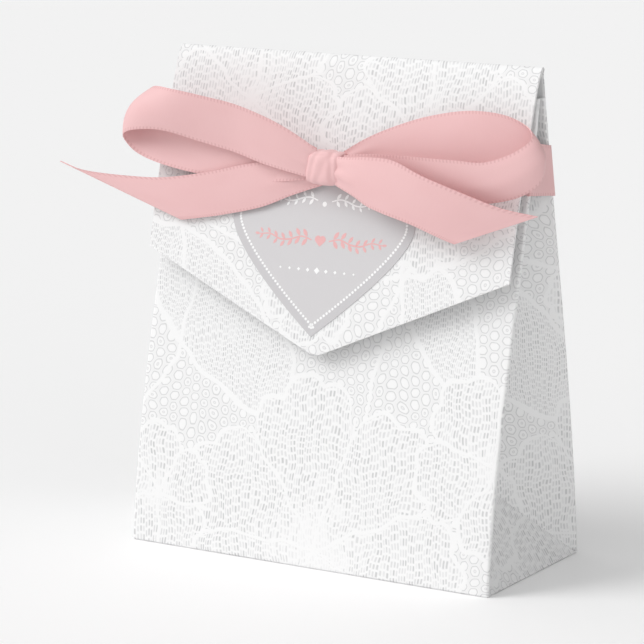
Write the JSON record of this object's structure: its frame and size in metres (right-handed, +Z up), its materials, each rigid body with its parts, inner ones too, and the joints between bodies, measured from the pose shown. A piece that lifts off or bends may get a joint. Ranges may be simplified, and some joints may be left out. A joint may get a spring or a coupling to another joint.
{
  "type": "tent favour box",
  "caption": "Small tent-shaped favour box of folded card with pleated sides, a pointed front flap with a heart label, and a satin ribbon tied in a bow.",
  "frame": {"origin": "middle of the base, on the surface that the box stands on", "axes": "+X across the front to its right edge as the front is seen, -Y out of the front with the flap and bow, +Z up"},
  "size_m": [0.1115, 0.0384, 0.1],
  "materials": {
    "card": "smooth white card printed with a pale grey lace pattern",
    "label": "matt warm grey with a white dotted border",
    "ribbon": "pale pink single-faced satin"
  },
  "bodies": {
    "box": {"base_panel": "card", "base_glue_flap": "card", "back_panel": "card", "side_glue_tab": "card", "gusset_foot_left": "card", "gusset_foot_right": "card", "gusset_back_left": "card", "gusset_back_right": "card", "ribbon_back": "ribbon", "ribbon_side_left": "ribbon", "ribbon_side_right": "ribbon"},
    "front": {"front_panel": "card", "gusset_front_left": "card", "gusset_front_right": "card", "ribbon_tuck_left": "ribbon", "ribbon_tuck_right": "ribbon"},
    "lid": {"lid_flap": "card", "heart_label": "label", "ribbon_band_left": "ribbon", "ribbon_band_right": "ribbon", "bow_knot": "ribbon", "bow_loop_left": "ribbon", "bow_loop_right": "ribbon", "bow_tail_left": "ribbon", "bow_tail_right": "ribbon"}
  },
  "joints": [
    {"name": "flap_hinge", "type": "hinge", "parent": "box", "child": "lid", "pos_m": [0, 0.00145, 0.09995], "axis": [-1, 0, 0], "range_deg": [0, 150]},
    {"name": "front_lean", "type": "hinge", "parent": "box", "child": "front", "pos_m": [0, -0.01925, 0], "axis": [1, 0, 0], "range_deg": [0, 9]}
  ],
  "couplings": [
    {"joint": "front_lean", "follows": "flap_hinge", "ratio": 0.06}
  ]
}
